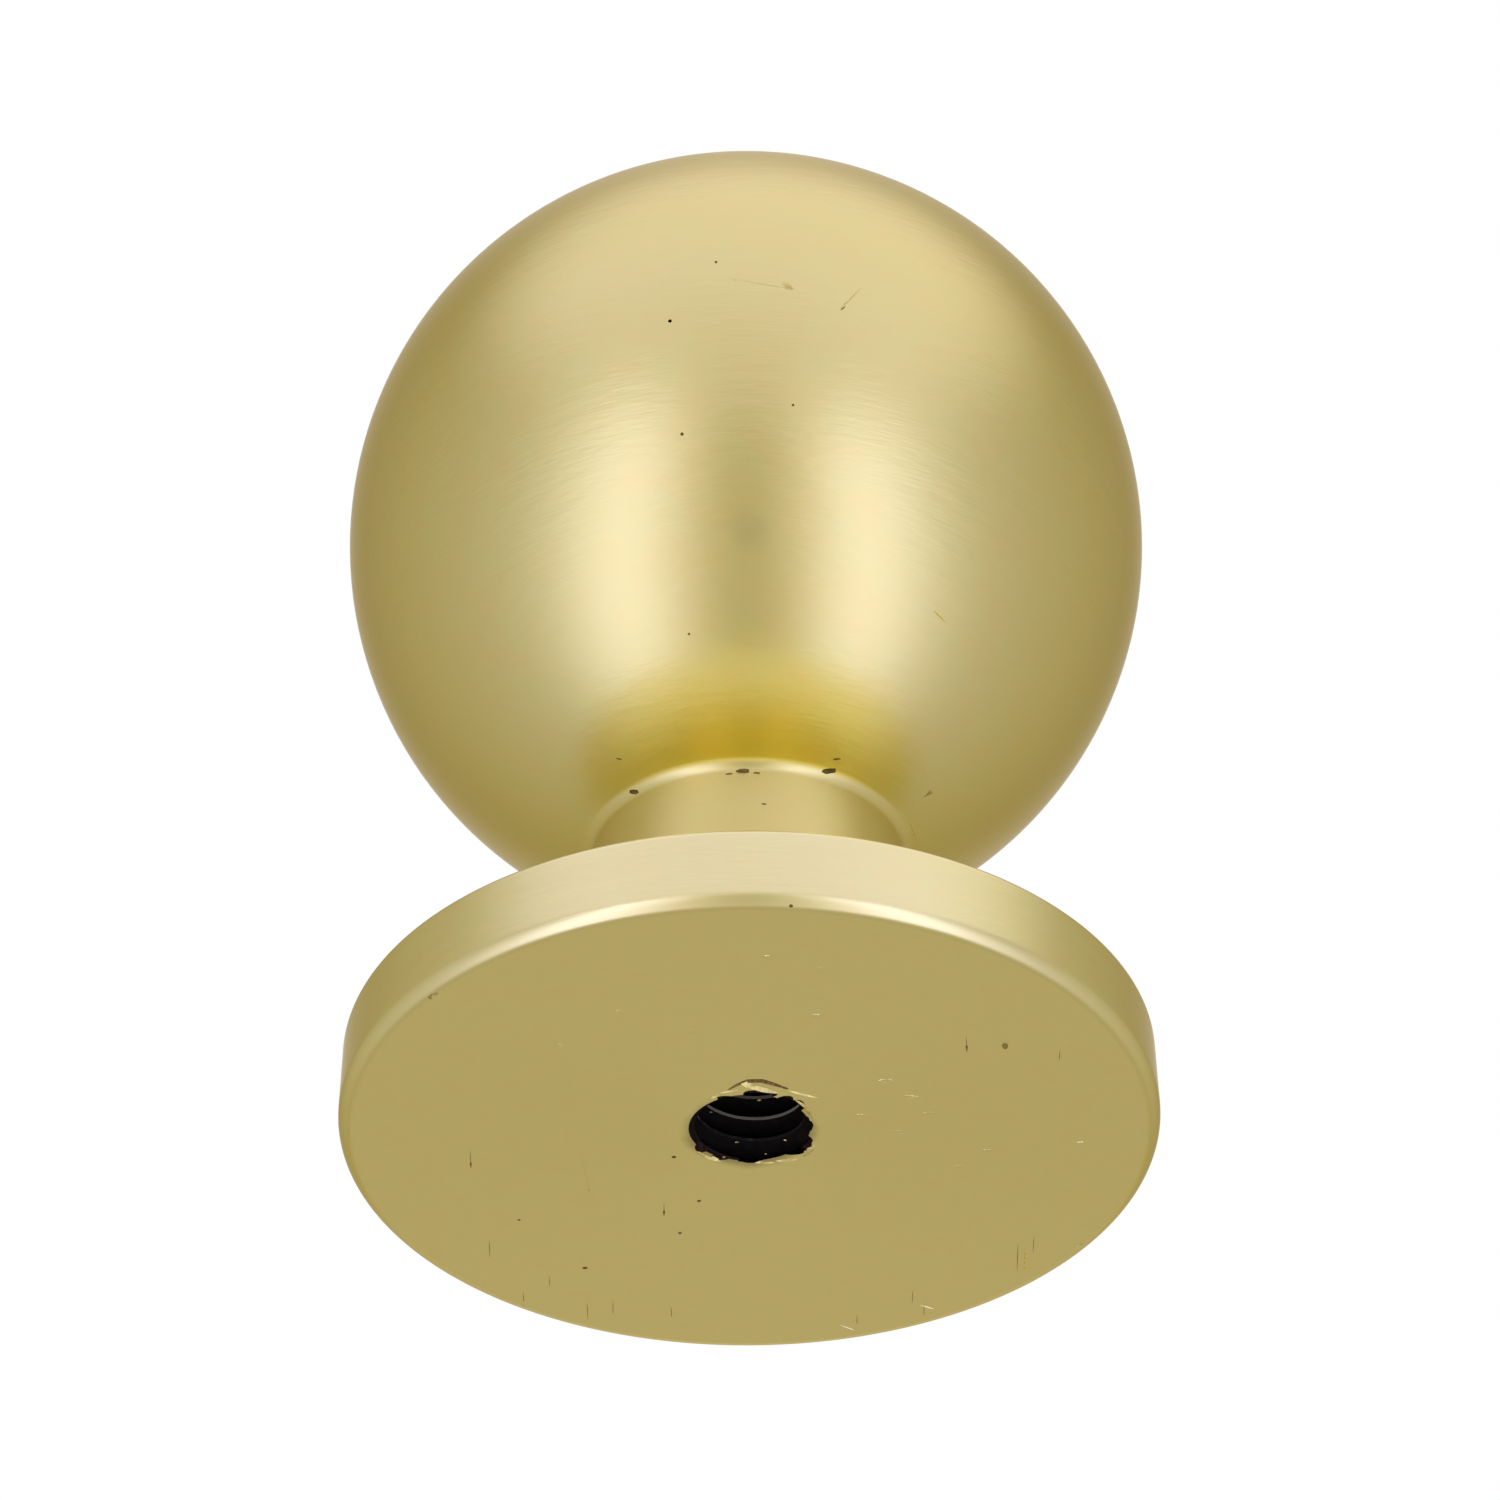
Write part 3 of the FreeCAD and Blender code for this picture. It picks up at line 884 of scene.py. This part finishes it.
# %% The walls and softboxes
LIGHT_LEVEL = 3.0
SIDES = (
    (0, "#686666"),     # the dark camera, between the softboxes
    (8, "#767070"),     # its stand
    (17, "#8c8698"),    # a softbox's inner edge
    (25, "#a2a0d0"),
    (34, "#b0aee8"),    # a softbox's middle
    (43, "#a8a8e0"),
    (55, "#8e8cac"),    # a softbox's outer edge
    (70, "#7a7688"),    # the side walls
    (90, "#726e74"),
    (120, "#6c665e"),
    (150, "#645c44"),   # the dim rear corners
    (180, "#7c7468"),   # the foot of the backdrop
)

world = bpy.data.worlds.new("studio")
bpy.context.scene.world = world
world.use_nodes = True
tree = world.node_tree
tree.nodes.clear()
look = add_node(tree, "ShaderNodeTexCoord").outputs["Generated"]
tilted = add_node(tree, "ShaderNodeVectorRotate", {"rotation_type": "X_AXIS"}, Vector=look,
                  Angle=VIEW_ANGLE)
axes = add_node(tree, "ShaderNodeSeparateXYZ", Vector=tilted.outputs[0])
towards = add_node(tree, "ShaderNodeMath", {"operation": "MULTIPLY"}, _0=axes.outputs["Y"], _1=-1.0)
azimuth = add_node(tree, "ShaderNodeMath", {"operation": "ARCTAN2"}, _0=axes.outputs["X"],
                   _1=towards.outputs[0])
off_axis = add_node(tree, "ShaderNodeMath", {"operation": "ABSOLUTE"}, _0=azimuth.outputs[0])
turn_part = add_node(tree, "ShaderNodeMapRange", Value=off_axis.outputs[0], From_Max=math.pi)
sides = fill_ramp(add_node(tree, "ShaderNodeValToRGB", Fac=turn_part.outputs["Result"]),
                  [(angle / 180, linear(colour)) for angle, colour in SIDES])
print("the studio's walls have", len(SIDES), "stops")

# %% [markdown]
# A wide white sheet hangs over the table, brighter to the rear, where its lamp is. Under the camera
# lies a grey table. Both end softly, as a hanging sheet and a table's edge do out of focus.

# %% The sheet above and the table below
TOPS = (
    (-0.6, "#86829a"),  # the sheet's front edge
    (-0.3, "#8c88a6"),
    (0, "#928eb0"),     # over the knob
    (0.35, "#9490a6"),
    (0.75, "#9e98a6"),  # next to its lamp
)
TABLE = "#68625c"
SHEET_AXIS = (0.06, 0, 1)
LAMP_AXIS = (0.25, 1, 0)
SHEET_EDGE = (25, 55)
TABLE_EDGE = (55, 75)

overhead = add_node(tree, "ShaderNodeVectorMath", {"operation": "DOT_PRODUCT"}, _0=tilted.outputs[0],
                    _1=SHEET_AXIS)
top_part = add_node(tree, "ShaderNodeMapRange", {"interpolation_type": "SMOOTHSTEP"},
                    Value=overhead.outputs["Value"], From_Min=math.sin(math.radians(SHEET_EDGE[0])),
                    From_Max=math.sin(math.radians(SHEET_EDGE[1])))
rear = add_node(tree, "ShaderNodeVectorMath", {"operation": "DOT_PRODUCT"}, _0=tilted.outputs[0],
                _1=LAMP_AXIS)
rear_part = add_node(tree, "ShaderNodeMapRange", Value=rear.outputs["Value"], From_Min=-1.0,
                     From_Max=1.0)
top = fill_ramp(add_node(tree, "ShaderNodeValToRGB", Fac=rear_part.outputs["Result"]),
                [((back + 1) / 2, linear(colour)) for back, colour in TOPS])
above = add_node(tree, "ShaderNodeMix", {"data_type": "RGBA"}, _0=top_part.outputs["Result"],
                 _6=sides.outputs["Color"], _7=top.outputs["Color"])
low_part = add_node(tree, "ShaderNodeMapRange", {"interpolation_type": "SMOOTHSTEP"},
                    Value=axes.outputs["Z"], From_Min=-math.sin(math.radians(TABLE_EDGE[0])),
                    From_Max=-math.sin(math.radians(TABLE_EDGE[1])))
studio_light = add_node(tree, "ShaderNodeMix", {"data_type": "RGBA"}, _0=low_part.outputs["Result"],
                        _6=above.outputs[2], _7=linear(TABLE))
print("the sheet begins", SHEET_EDGE[0], "degrees above the camera's axis")

# %% [markdown]
# The backdrop is white, at a strength of one, for the camera and for clear pieces. The brass sees
# it too, in the patch straight behind the knob where the backdrop hangs. More light on the knob
# would also make the background white, but it would wash out the brass.

# %% The white backdrop
BACKDROP_EDGE = 0.985
BACKDROP_FULL = 0.995

ray = add_node(tree, "ShaderNodeLightPath")
seen = add_node(tree, "ShaderNodeMath", {"operation": "MAXIMUM"}, _0=ray.outputs["Is Camera Ray"],
                _1=ray.outputs["Is Transmission Ray"])
behind = add_node(tree, "ShaderNodeMapRange", Value=axes.outputs["Y"], From_Min=BACKDROP_EDGE,
                  From_Max=BACKDROP_FULL)
mirrored = add_node(tree, "ShaderNodeMath", {"operation": "MULTIPLY"},
                    _0=ray.outputs["Is Glossy Ray"], _1=behind.outputs["Result"])
shown = add_node(tree, "ShaderNodeMath", {"operation": "MAXIMUM"}, _0=seen.outputs[0],
                 _1=mirrored.outputs[0])
lit = add_node(tree, "ShaderNodeBackground", Color=studio_light.outputs[2], Strength=LIGHT_LEVEL)
white = add_node(tree, "ShaderNodeBackground", Color=linear(WHITE), Strength=1.0)
both = add_node(tree, "ShaderNodeMixShader", _0=shown.outputs[0], _1=lit.outputs[0],
                _2=white.outputs[0])
add_node(tree, "ShaderNodeOutputWorld", Surface=both.outputs[0])
bpy.context.scene.view_settings.view_transform = "Standard"
print("the studio has", len(tree.nodes), "nodes")
